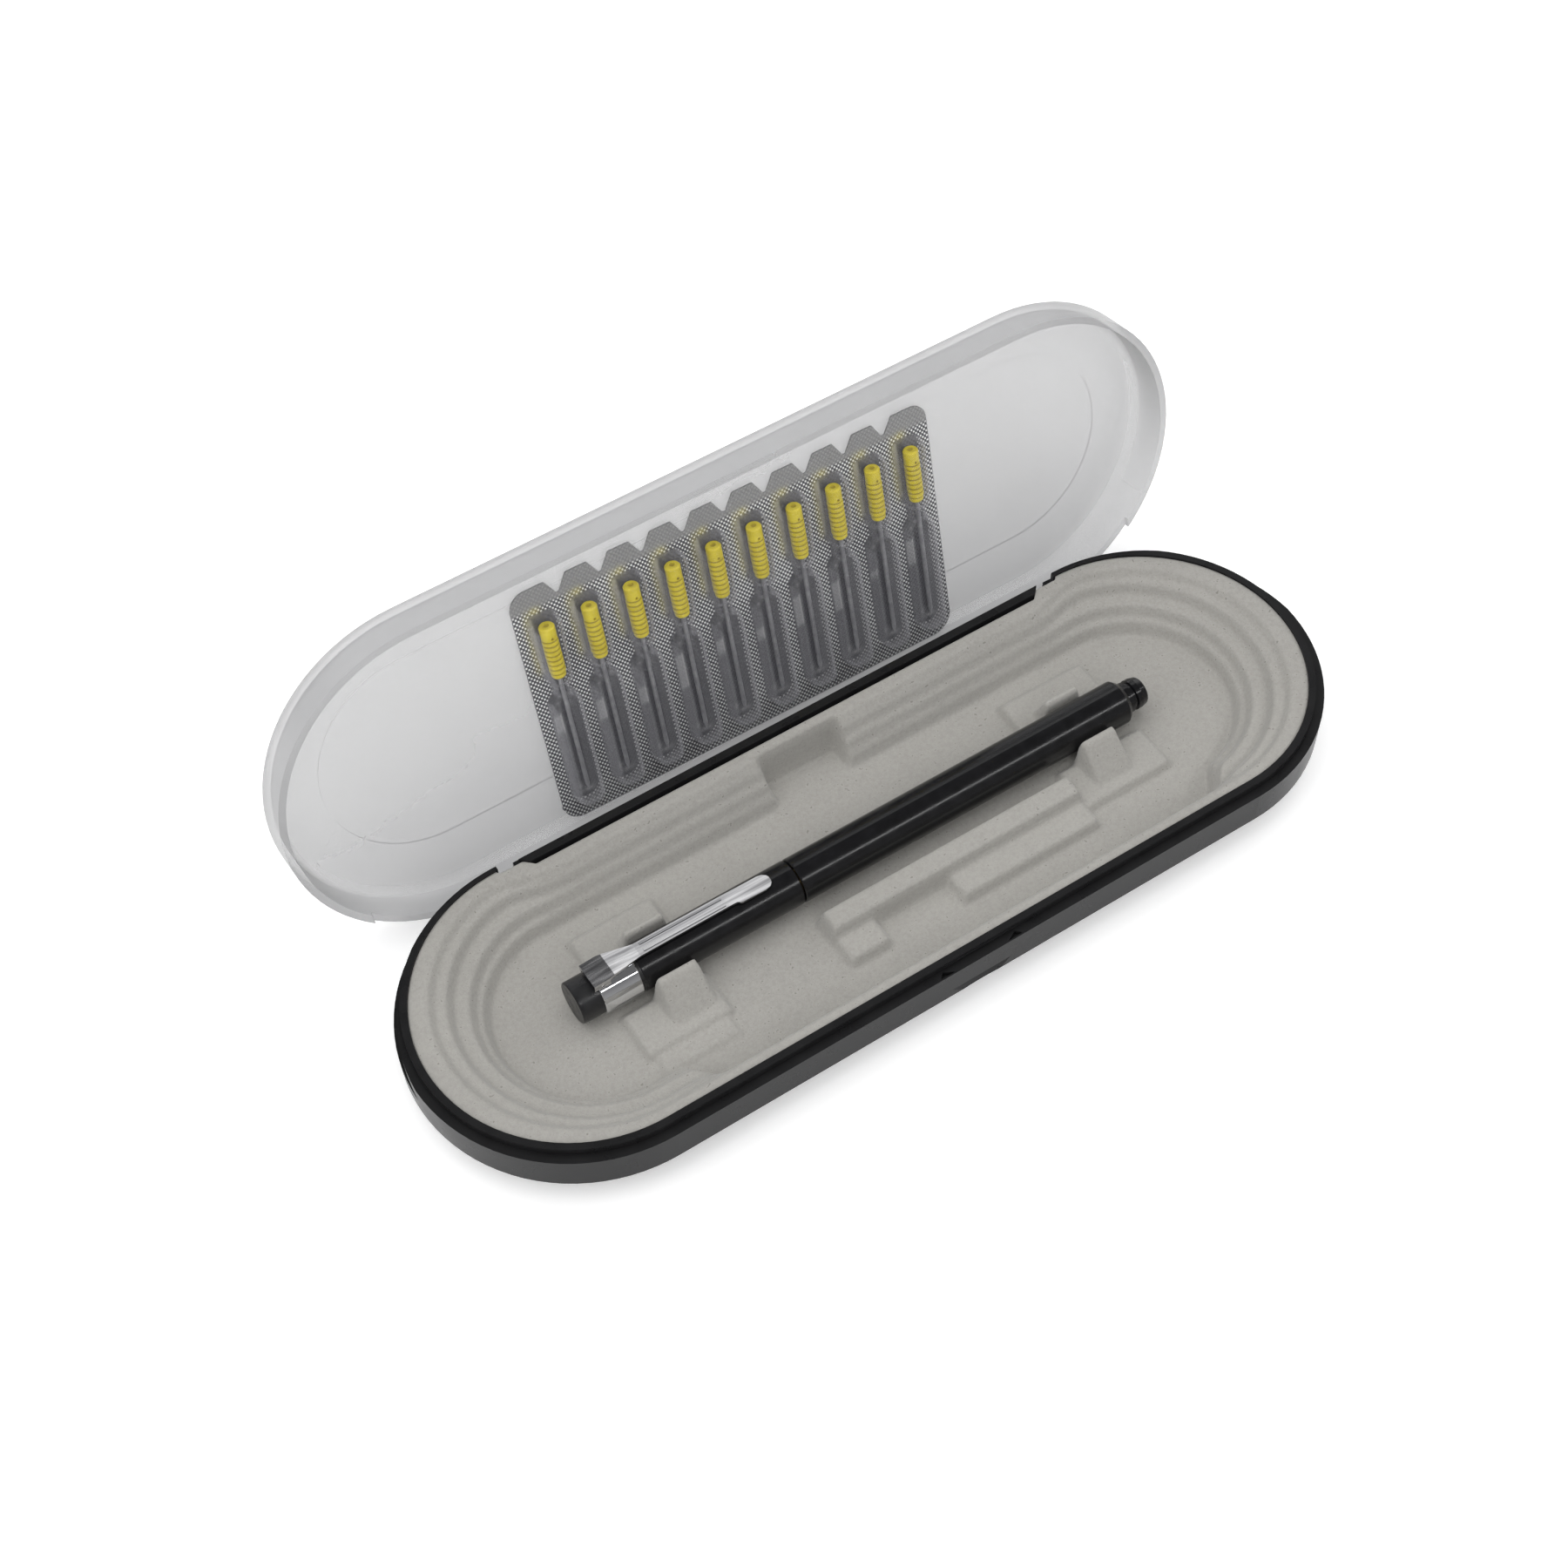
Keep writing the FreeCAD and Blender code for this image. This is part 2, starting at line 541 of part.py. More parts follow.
def blister_sheet():
    t = blister_sheet_t
    plate, _ = card_plate(-t, 0)
    outers = []
    inners = []
    for i in range(cell_count):
        for width, y0, y1, radius, taper in ((5.9, -20.4, -5.8, 1.3, 0.7), (6.0, -3.2, 22.4, 2.4, 0.35)):
            o = pocket(width, y0, y1, radius, pocket_depth, 0.45, 0, taper)
            n = pocket(width, y0, y1, radius, pocket_depth - t, 0.45, -t, taper)
            o.translate(V(cell_x(i), 0, 0))
            n.translate(V(cell_x(i), 0, 0))
            outers.append(o)
            inners.append(n)
        o = box(cell_x(i) - 1.5, cell_x(i) + 1.5, -7.2, -1.6, -pocket_depth + 0.6, 0)
        n = box(cell_x(i) - 1.5 + t, cell_x(i) + 1.5 - t, -8.0, -0.8, -pocket_depth + 0.6 + t, 0)
        outers.append(o)
        inners.append(n)
    body = fuse_all([plate] + outers)
    return place_card(body.cut(Part.makeCompound(inners)))


def foil_backing():
    plate, _ = card_plate(0, foil_t)
    return place_card(plate)


def needle_hub(i):
    x = cell_x(i)
    core = hub_radius - hub_groove
    y0 = hub_top
    y1 = hub_top + hub_length
    head = 2.9
    step = (hub_length - head - 0.1) / hub_ribs
    pts = [(y0, 0), (y0, hub_radius - 0.3), (y0 + 0.3, hub_radius - 0.05), (y0 + head - 0.2, hub_radius - 0.05)]
    for k in range(hub_ribs):
        yk = y0 + head + k * step
        last = hub_radius - (0.15 if k == hub_ribs - 1 else 0.0)
        pts += [(yk, core), (yk + 0.3 * step, last), (yk + 0.75 * step, last), (yk + step - 0.02, core)]
    pts += [(y1, core - 0.3), (y1, 0)]
    ring = [V(x, y, hub_axis + r) for y, r in pts]
    ring.append(ring[0])
    hub = Part.Face(Part.makePolygon(ring)).revolve(V(x, 0, hub_axis), V(0, 1, 0), 360)
    dimple = Part.makeCylinder(0.55, 1.6, V(x, y0 - 0.1, hub_axis), V(0, 1, 0))
    hole = Part.makeCylinder(shaft_radius + seat_gap, shaft_embed + 0.2, V(x, y1 - shaft_embed, hub_axis),
                             V(0, 1, 0))
    # small square vent in the smooth head of the hub
    vent = box(x - 0.22, x + 0.22, y0 + 2.0, y0 + 2.5, hub_axis - hub_radius - 0.1, hub_axis - hub_radius + 0.6)
    return place_card(hub.cut(dimple).cut(hole).cut(vent))


def needle(i):
    y0 = hub_top + hub_length - shaft_embed + 0.05
    shaft = Part.makeCylinder(shaft_radius, shaft_end - 1.6 - y0, V(cell_x(i), y0, hub_axis), V(0, 1, 0))
    tip = Part.makeCone(shaft_radius, 0.08, 1.6, V(cell_x(i), shaft_end - 1.6, hub_axis), V(0, 1, 0))
    return place_card(fuse_all([shaft, tip]))


os.makedirs("parts", exist_ok=True)
save("base_shell", base_shell())
save("tray_liner", tray_liner())
save("lid_shell", place_with_lid(lid_closed()))
save("end_plug", end_plug())
save("barrel_rear", barrel_rear())
save("clip_band", clip_band())
save("collar_ring", collar_ring())
save("joint_sleeve", joint_sleeve())
save("barrel_front", barrel_front())
save("nose_socket", nose_socket())
save("clip_arm", clip_arm())
save("blister_sheet", blister_sheet())
save("foil_backing", foil_backing())
for number in range(cell_count):
    save("needle_hub_%02d" % (number + 1), needle_hub(number))
    save("needle_%02d" % (number + 1), needle(number))
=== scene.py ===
import bmesh
import bpy
import math
import numpy as np
from mathutils import Matrix, Vector


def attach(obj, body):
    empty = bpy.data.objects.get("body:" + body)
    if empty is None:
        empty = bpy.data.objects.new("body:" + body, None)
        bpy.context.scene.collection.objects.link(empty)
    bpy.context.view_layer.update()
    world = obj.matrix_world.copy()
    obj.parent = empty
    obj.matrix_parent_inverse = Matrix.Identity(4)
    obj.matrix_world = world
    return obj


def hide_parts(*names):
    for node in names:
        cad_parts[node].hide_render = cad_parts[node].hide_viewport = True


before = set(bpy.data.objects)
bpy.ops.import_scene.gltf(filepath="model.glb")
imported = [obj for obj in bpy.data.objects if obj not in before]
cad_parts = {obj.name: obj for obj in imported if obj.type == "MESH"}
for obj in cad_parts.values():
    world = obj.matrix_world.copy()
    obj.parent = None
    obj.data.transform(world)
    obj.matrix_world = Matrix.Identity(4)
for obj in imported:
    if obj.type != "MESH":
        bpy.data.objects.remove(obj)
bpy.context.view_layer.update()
scene = bpy.context.scene
MM = 0.001

# ------------------------------------------------------------------ sizes, millimetres
RIM = 15.5                      # top of the case lip
HALF = 60.93                    # half-length of the straight sides
LINER_R = 29.04                 # outer radius of the liner flange
REAR_Y = 26.7                   # rear edge of the flange between the hinge slots
FLANGE = -0.5                   # liner flange below the lip
FLOOR = -9.2                    # liner floor below the lip
HINGE = (27.38, 8.18)           # hinge axis y, z
OPEN = -102.0                   # turn of the open lid about that axis, degrees
PITCH, CELLS = 8.4, 10          # spacing and number of the blister cells
CARD_W = 85.9                   # width of the strip
CARD_TOP, CARD_LOW = -25.855, 26.295   # its upper and lower edge in its own plane
TAB_H = 3.1                     # height of the tear tabs
POCKET_HALF = 2.95              # half-width of the pockets
HUB_TOP, HUB_LOW = -20.4, -5.8  # ends of the pocket round the hub
SHAFT_LOW = 22.4                # lower end of the pocket round the shaft
FILM_T, FOIL_T = 0.3, 0.2       # thickness of the clear film and of the foil
FILM_Z = -0.2                   # middle of the flat film in front of the foil


# ------------------------------------------------------------------ node helpers
def new_mat(name):
    m = bpy.data.materials.new(name)
    m.use_nodes = True
    nt = m.node_tree
    nt.nodes.clear()
    out = nt.nodes.new("ShaderNodeOutputMaterial")
    bsdf = nt.nodes.new("ShaderNodeBsdfPrincipled")
    nt.links.new(bsdf.outputs[0], out.inputs[0])
    return m, nt, bsdf


def put(nt, kind, **props):
    n = nt.nodes.new(kind)
    for k, v in props.items():
        setattr(n, k, v)
    return n


def coords(nt, scale=(1, 1, 1)):
    tc = put(nt, "ShaderNodeTexCoord")
    mp = put(nt, "ShaderNodeMapping")
    mp.inputs["Scale"].default_value = scale
    nt.links.new(tc.outputs["Object"], mp.inputs[0])
    return mp.outputs[0]


def noise(nt, vec, scale, detail=3.0, rough=0.5):
    n = put(nt, "ShaderNodeTexNoise")
    n.inputs["Scale"].default_value = scale
    n.inputs["Detail"].default_value = detail
    n.inputs["Roughness"].default_value = rough
    nt.links.new(vec, n.inputs["Vector"])
    return n.outputs["Fac"]


def ramp(nt, fac, stops):
    r = put(nt, "ShaderNodeValToRGB")
    e = r.color_ramp.elements
    while len(e) < len(stops):
        e.new(0.5)
    for k, (pos, col) in enumerate(stops):
        e[k].position = pos
        e[k].color = (*col, 1) if len(col) == 3 else col
    nt.links.new(fac, r.inputs[0])
    return r.outputs[0]


def remap(nt, fac, a, b, c, d):
    r = put(nt, "ShaderNodeMapRange")
    for k, v in zip((1, 2, 3, 4), (a, b, c, d)):
        r.inputs[k].default_value = v
    nt.links.new(fac, r.inputs[0])
    return r.outputs[0]


def math_node(nt, op, a, b=None, c=None):
    n = put(nt, "ShaderNodeMath", operation=op)
    for k, v in enumerate((a, b, c)):
        if v is None:
            continue
        if isinstance(v, (int, float)):
            n.inputs[k].default_value = v
        else:
            nt.links.new(v, n.inputs[k])
    return n.outputs[0]


def mix(nt, fac, a, b):
    n = put(nt, "ShaderNodeMix", data_type="RGBA")
    for k, v in ((0, fac), (6, a), (7, b)):
        if isinstance(v, (int, float)):
            n.inputs[k].default_value = v
        elif isinstance(v, tuple):
            n.inputs[k].default_value = (*v, 1)
        else:
            nt.links.new(v, n.inputs[k])
    return n.outputs[2]


def bump(nt, bsdf, height, strength, distance):
    b = put(nt, "ShaderNodeBump")
    b.inputs["Strength"].default_value = strength
    b.inputs["Distance"].default_value = distance
    nt.links.new(height, b.inputs["Height"])
    nt.links.new(b.outputs[0], bsdf.inputs["Normal"])


def solid(name, dark, light, rough=(0.2, 0.3), scale=120.0, metallic=0.0, stretch=(1, 1, 1),
          bumps=0.0, **sockets):
    # opaque finish: two close tones, uneven roughness and an optional fine bump
    m, nt, b = new_mat(name)
    v = coords(nt, stretch)
    n = noise(nt, v, scale)
    nt.links.new(ramp(nt, n, [(0.3, dark), (0.7, light)]), b.inputs["Base Color"])
    nt.links.new(remap(nt, n, 0.3, 0.7, *rough), b.inputs["Roughness"])
    b.inputs["Metallic"].default_value = metallic
    for k, val in sockets.items():
        b.inputs[k.replace("_", " ")].default_value = val
    if bumps:
        bump(nt, b, noise(nt, v, scale * 6, 2.0), bumps, 0.0002)
    return m


def clear(name, tint, centre, edge, rough, rim):
    # clear plastic: little cover face on, more and darker at a grazing angle
    m, nt, b = new_mat(name)
    v = coords(nt)
    n = noise(nt, v, 90.0, 4.0)
    lw = put(nt, "ShaderNodeLayerWeight")
    lw.inputs[0].default_value = 0.5
    face = ramp(nt, n, [(0.3, tuple(0.97 * c for c in tint)), (0.7, tint)])
    graze = remap(nt, lw.outputs["Facing"], 0.55, 1.0, 0.0, 1.0)
    nt.links.new(mix(nt, graze, face, tuple(rim * c for c in tint)), b.inputs["Base Color"])
    nt.links.new(remap(nt, lw.outputs["Facing"], 0.25, 1.0, centre, edge), b.inputs["Alpha"])
    b.inputs["Roughness"].default_value = rough
    return m


# ------------------------------------------------------------------ finishes
M = {}
M["case"] = solid("case_black_gloss", (0.011, 0.011, 0.0115), (0.015, 0.015, 0.0155), (0.26, 0.32), 200.0,
                  Specular_IOR_Level=0.13)
M["pen"] = solid("holder_black_lacquer", (0.003, 0.003, 0.0035), (0.006, 0.006, 0.007), (0.17, 0.23), 500.0,
                 bumps=0.01)
M["plug"] = solid("plug_black_plastic", (0.010, 0.010, 0.011), (0.018, 0.018, 0.019), (0.25, 0.4), 400.0,
                  bumps=0.08)
M["chrome"] = solid("polished_chrome", (0.78, 0.785, 0.80), (0.83, 0.835, 0.85), (0.05, 0.09), 150.0, 1.0)
M["clip"] = solid("clip_bright_metal", (0.30, 0.30, 0.31), (0.92, 0.92, 0.93), (0.06, 0.14), 1300.0, 1.0,
                  (0.03, 1, 1))
M["brass"] = solid("machined_brass", (0.55, 0.40, 0.17), (0.70, 0.53, 0.25), (0.2, 0.35), 900.0, 1.0,
                   (1, 6, 6), bumps=0.05)
M["steel"] = solid("needle_steel", (0.26, 0.26, 0.28), (0.40, 0.40, 0.42), (0.3, 0.45), 800.0, 0.5)
M["lid"] = clear("lid_clear_plastic", (0.45, 0.451, 0.457), 0.40, 0.85, 0.3, 0.6)
M["blister"] = clear("blister_clear_sheet", (0.62, 0.62, 0.66), 0.03, 0.42, 0.07, 0.9)


def flock_material():
    m, nt, b = new_mat("liner_grey_flock")
    v = coords(nt)
    fibres = noise(nt, v, 1500.0, 5.0, 0.75)
    tone = ramp(nt, fibres, [(0.25, (0.29, 0.281, 0.262)), (0.75, (0.39, 0.38, 0.356))])
    patches = remap(nt, noise(nt, v, 45.0, 3.0), 0.3, 0.7, 0.97, 1.03)
    shaded = put(nt, "ShaderNodeVectorMath", operation="SCALE")
    nt.links.new(tone, shaded.inputs[0])
    nt.links.new(patches, shaded.inputs["Scale"])
    specks = remap(nt, noise(nt, v, 1500.0, 1.0), 0.70, 0.76, 0.0, 0.55)
    nt.links.new(mix(nt, specks, shaded.outputs[0], (0.13, 0.12, 0.11)), b.inputs["Base Color"])
    b.inputs["Roughness"].default_value = 0.95
    b.inputs["Sheen Weight"].default_value = 0.3
    b.inputs["Sheen Roughness"].default_value = 0.5
    b.inputs["Specular IOR Level"].default_value = 0.1
    bump(nt, b, noise(nt, v, 2500.0, 3.0), 0.35, 0.0003)
    return m


def foil_material():
    # embossed diamond dots between the cells and plain foil in the tabs; behind the pockets the plain foil
    # carries painted highlights, painted shade and a painted yellow reflection of the hubs
    m, nt, b = new_mat("foil_embossed")
    uv = put(nt, "ShaderNodeUVMap", uv_map="card")
    sep = put(nt, "ShaderNodeSeparateXYZ")
    nt.links.new(uv.outputs[0], sep.inputs[0])
    x, y = sep.outputs[0], sep.outputs[1]          # tens of millimetres over the strip
    px, py = 0.088, 0.100
    turn = 2 * math.pi
    cu = math_node(nt, "COSINE", math_node(nt, "MULTIPLY", x, turn / px))
    cv = math_node(nt, "COSINE", math_node(nt, "MULTIPLY", y, turn / py))
    lattice = math_node(nt, "MULTIPLY", cu, cv)
    wander = noise(nt, coords(nt), 60.0, 2.0)
    low = remap(nt, wander, 0.3, 0.7, -0.1, 0.2)
    dots = remap(nt, math_node(nt, "SUBTRACT", lattice, low), 0.0, 0.35, 0.0, 1.0)
    pattern = mix(nt, dots, (0.09, 0.09, 0.10), (1.0, 1.0, 1.0))
    mask = put(nt, "ShaderNodeAttribute", attribute_name="plain")
    pocket_reflection_shade = put(nt, "ShaderNodeAttribute", attribute_name="pocket_reflection_shade")
    grain = remap(nt, noise(nt, coords(nt, (1, 0.15, 0.15)), 420.0, 3.0), 0.3, 0.7, -0.06, 0.06)
    # painted highlights and painted shade on the foil behind the pockets, standing in for reflections in the
    # pocket walls
    painted_pocket_tones = ramp(nt, math_node(nt, "ADD", pocket_reflection_shade.outputs["Fac"], grain),
                   [(0.0, (0.055, 0.055, 0.065)), (0.5, (0.20, 0.20, 0.21)), (1.0, (0.60, 0.60, 0.60))])
    colour = mix(nt, mask.outputs["Fac"], pattern, painted_pocket_tones)
    tabs = put(nt, "ShaderNodeAttribute", attribute_name="tab")
    colour = mix(nt, tabs.outputs["Fac"], colour, (0.30, 0.30, 0.30))
    # painted yellow reflection of the hubs on the foil beside each hub pocket
    hub_reflection = put(nt, "ShaderNodeAttribute", attribute_name="hub_reflection")
    colour = mix(nt, hub_reflection.outputs["Fac"], colour, (0.80, 0.72, 0.22))
    nt.links.new(colour, b.inputs["Base Color"])
    b.inputs["Metallic"].default_value = 0.15
    b.inputs["Roughness"].default_value = 0.38
    bump(nt, b, lattice, 0.5, 0.0001)
    return m


def card_matrix():
    hinge = Matrix.Translation(Vector((0, HINGE[0], HINGE[1])))
    turn = Matrix.Rotation(math.radians(OPEN), 4, "X")
    place = Matrix.Translation(Vector((1.0, 3.42, RIM + 5.28)))
    lean = Matrix.Rotation(math.radians(-1.72), 4, "X") @ Matrix.Rotation(math.radians(0.74), 4, "Z")
    return hinge @ turn @ hinge.inverted() @ place @ lean


def hub_material():
    # yellow plastic with painted shade in the grooves between the ribs
    m, nt, b = new_mat("hub_yellow_plastic")
    v = coords(nt)
    n = noise(nt, v, 600.0)
    back = card_matrix().inverted()
    dot = put(nt, "ShaderNodeVectorMath", operation="DOT_PRODUCT")
    nt.links.new(v, dot.inputs[0])
    dot.inputs[1].default_value = (back[1][0] * 1000, back[1][1] * 1000, back[1][2] * 1000)
    along = math_node(nt, "ADD", dot.outputs["Value"], back[1][3])
    first, step = -15.7, 1.025      # first groove and groove spacing along the hub, millimetres
    phase = math_node(nt, "MULTIPLY", math_node(nt, "SUBTRACT", along, first), 2 * math.pi / step)
    # painted shade in each groove between the ribs
    groove = remap(nt, math_node(nt, "COSINE", phase), 0.1, 0.85, 0.0, 0.8)
    ribbed = remap(nt, along, first - 0.3, first - 0.1, 0.0, 1.0)
    tone = ramp(nt, n, [(0.3, (0.62, 0.50, 0.010)), (0.7, (0.76, 0.63, 0.02))])
    groove_painted_shade = math_node(nt, "MULTIPLY", groove, ribbed)
    nt.links.new(mix(nt, groove_painted_shade, tone, (0.30, 0.22, 0.006)), b.inputs["Base Color"])
    nt.links.new(remap(nt, n, 0.3, 0.7, 0.28, 0.4), b.inputs["Roughness"])
    return m


M["hub"] = hub_material()
M["flock"] = flock_material()
M["foil"] = foil_material()


def assign(node, key):
    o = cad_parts[node]
    o.data.materials.clear()
    o.data.materials.append(M[key])


looks = {"base_shell": "case", "lid_shell": "lid", "barrel_rear": "pen", "barrel_front": "pen",
         "nose_socket": "pen", "end_plug": "plug", "collar_ring": "plug", "clip_band": "chrome",
         "clip_arm": "clip", "joint_sleeve": "brass", "tray_liner": "flock",
         "blister_sheet": "blister", "foil_backing": "foil"}
for i in range(CELLS):
    looks["needle_hub_%02d" % (i + 1)] = "hub"
    looks["needle_%02d" % (i + 1)] = "steel"
for node, key in looks.items():
    assign(node, key)


# ------------------------------------------------------------------ mesh helpers
def smooth(t):
    t = np.clip(t, 0.0, 1.0)
    return t * t * (3 - 2 * t)


def window(v, lo, hi, soft):
    return smooth((v - lo) / soft + 0.5) * smooth((hi - v) / soft + 0.5)


def make_object(name, verts, faces, material):
    me = bpy.data.meshes.new(name)
    me.from_pydata([tuple(v) for v in verts], [], [tuple(f) for f in faces])
    me.validate()
    me.update()
    me.materials.append(material)
    me.polygons.foreach_set("use_smooth", [True] * len(me.polygons))
    o = bpy.data.objects.new(name, me)
    scene.collection.objects.link(o)
    return o


def grid_faces(nu, nv, base=0):
    i, j = np.meshgrid(np.arange(nu - 1), np.arange(nv - 1), indexing="ij")
    a = base + i * nv + j
    return np.stack([a, a + nv, a + nv + 1, a + 1], -1).reshape(-1, 4)


def thicken(o, thickness, offset):
    s = o.modifiers.new("thickness", "SOLIDIFY")
    s.thickness = thickness
    s.offset = offset
    s.use_quality_normals = True


# ------------------------------------------------------------------ liner
# half-length, radius, depth below the lip, rear limit and front limit of each level
LEVELS = ((59.1, 26.7, 1.8, 23.8, 26.7), (58.1, 24.6, 4.0, 22.2, 26.0),
          (58.1, 21.0, 6.3, 20.4, 25.3), (58.3, 18.8, 9.2, 18.7, 24.6))
SOFT = 1.7                          # width over which one level runs into the next
POSTS_X = ((-49.0, -40.3), (41.3, 49.4))   # the two pairs of posts along the case
POST_NEAR, POST_FAR = -4.05, 5.15   # faces of the posts beside the holder
POST_H = 7.5                        # their height above the liner floor
PLATFORMS = ((-56, -39, -14, -4.4, 1.7), (-55, -40, -18, -13, 0.8), (37, 56, -14, -4.4, 1.7),
             (37, 56, 4.4, 14, 1.7), (-56, -39, 4.4, 14, 1.7), (-17, 37, -12.2, -7.0, 4.7))


def liner_height(x, y):
    # height of the flocked surface, below the lip
    z = np.full(x.shape, FLANGE)
    front_w = smooth((x + 53) / 6) * (1 - smooth((x - 56) / 6))
    rear_w = 1 - smooth((np.abs(x) - 51.0) / 14)
    last = -FLANGE
    for a, r, drop, rear, front in LEVELS:
        rho = np.hypot(np.maximum(np.abs(x) - a, 0), y)
        reach = np.where(y < 0, r + (front - r) * front_w, r + (rear - r) * rear_w)
        z = z - (drop - last) * smooth((reach - rho) / SOFT + 0.5)
        last = drop
    recess = window(x, -9.0, 7.0, 1.6) * window(y, 6.0, 24.3, 1.2)
    z = z + (FLOOR - z) * recess
    up = np.zeros(x.shape)

    def raise_to(h):
        return np.maximum(up, h)

    near_y = (POST_NEAR - 9.3, POST_NEAR - 1.6, POST_NEAR - 0.1, POST_NEAR + 0.1)
    far_y = (POST_FAR - 0.1, POST_FAR + 0.1, POST_FAR + 1.5, POST_FAR + 4.6)
    for x0, x1 in POSTS_X:
        wx = window(x, x0, x1, 0.9)
        up = raise_to(wx * np.interp(y, near_y, (0.0, POST_H, POST_H, 0.0)))
        up = raise_to(wx * np.interp(y, far_y, (0.0, POST_H, POST_H, 0.0)))
        up = raise_to(0.25 * wx * window(y, POST_NEAR, POST_FAR, 0.4))
    for x0, x1, y0, y1, h in PLATFORMS:
        up = raise_to(h * window(x, x0, x1, 1.2) * window(y, y0, y1, 1.2))
    step = window(y, -17.6, -11.5, 1.2) * (1 - window(x, -8.5, 7.0, 1.4))
    up = raise_to(2.2 * window(x, -17, 37, 1.4) * step)
    return np.maximum(z, FLOOR + up)


def blur(z, passes):
    for _ in range(passes):
        p = np.pad(z, 1, mode="edge")
        z = (4 * z + p[:-2, 1:-1] + p[2:, 1:-1] + p[1:-1, :-2] + p[1:-1, 2:]) / 8
    return z


def rear_reach(x):
    # the flange fills the ends of the rear side round the cut-back bar
    x = np.abs(x)
    return np.interp(x, (54.2, 55.9, 60.5, 60.8), (REAR_Y, 28.4, 28.4, LINER_R))


def make_liner():
    n_in, n_out = 74, 9
    r_in = np.linspace(0, REAR_Y, n_in)
    radii = np.concatenate([r_in, np.linspace(REAR_Y, LINER_R, n_out)[1:]])
    ys = np.concatenate([-radii[::-1], radii[1:]])
    xs = np.linspace(-HALF, HALF, 330)
    gx, gy = np.meshgrid(xs, ys, indexing="ij")
    squeeze = (rear_reach(gx) - REAR_Y) / (LINER_R - REAR_Y)
    gy = np.where(gy > REAR_Y, REAR_Y + (gy - REAR_Y) * squeeze, gy)
    gz = liner_height(gx, gy)
    gz += (blur(gz, 2) - gz) * smooth((HALF - 3 - np.abs(gx)) / 3)
    verts = [np.stack([gx, gy, gz], -1).reshape(-1, 3)]
    faces = [grid_faces(len(xs), len(ys))]
    base = len(verts[0])
    for side in (-1, 1):
        ang = np.linspace(-math.pi / 2, math.pi / 2, 96)
        ga, gr = np.meshgrid(ang, radii, indexing="ij")
        ex, ey = side * (HALF + gr * np.cos(ga)), gr * np.sin(ga)
        ez = liner_height(ex, ey)
        verts.append(np.stack([ex, ey, ez], -1).reshape(-1, 3))
        f = grid_faces(len(ang), len(radii), base)
        faces.append(f if side < 0 else f[:, ::-1])
        base += len(verts[-1])
    v = np.concatenate(verts)
    v[:, 2] += RIM
    o = make_object("flocked_liner", v * MM, np.concatenate(faces), M["flock"])
    bm = bmesh.new()
    bm.from_mesh(o.data)
    bmesh.ops.remove_doubles(bm, verts=bm.verts, dist=0.00002)
    bmesh.ops.dissolve_degenerate(bm, edges=bm.edges, dist=0.00001)
    bmesh.ops.recalc_face_normals(bm, faces=bm.faces)
    up = sum(f.normal.z for f in bm.faces)
    if up < 0:
        bmesh.ops.reverse_faces(bm, faces=bm.faces)
    bm.to_mesh(o.data)
    bm.free()
    thicken(o, 0.7 * MM, -1)
    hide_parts("tray_liner")
    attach(o, "case")


# ------------------------------------------------------------------ blister strip
CARD = np.array(card_matrix())


def cell_offset(a):
    k = np.clip(np.floor(a / PITCH + CELLS / 2), 0, CELLS - 1)
    return a - (k - (CELLS - 1) / 2) * PITCH


def rounded_depth(s, b, half, lo, hi, r):
    # distance inside a rounded rectangle
    qx = np.abs(s) - (half - r)
    qy = np.abs(b - (lo + hi) / 2) - ((hi - lo) / 2 - r)
    d = np.hypot(np.maximum(qx, 0), np.maximum(qy, 0)) + np.minimum(np.maximum(qx, qy), 0) - r
    return -d


def pocket_depths(a, b):
    # distance inside the hub pocket, the shaft pocket and the neck that joins them
    s = cell_offset(a)
    half = POCKET_HALF - 0.62 * np.clip((b - HUB_TOP) / (HUB_LOW - HUB_TOP), 0, 1)
    hub = rounded_depth(s, b, half, HUB_TOP, HUB_LOW, 1.6)
    shaft = rounded_depth(s, b, POCKET_HALF, -3.3, SHAFT_LOW, 2.3)
    neck = rounded_depth(s, b, 1.5, -8.0, -1.0, 0.5)
    return hub, shaft, neck


def dome(t, depth, run):
    # wall of a pocket that rounds over into its front
    k = np.clip(t / run, 0, 1)
    return depth * np.sqrt(1 - (1 - k) ** 2)


def pocket_height(a, b):
    hub, shaft, neck = pocket_depths(a, b)
    return np.maximum(np.maximum(dome(hub, 3.95, 1.3), dome(shaft, 3.95, 1.5)), dome(neck, 2.8, 0.9))


def plain_mask(a, b):
    hub, shaft, neck = pocket_depths(a, b)
    return np.clip(np.maximum(np.maximum(hub, shaft), neck) / 0.25, 0, 1)


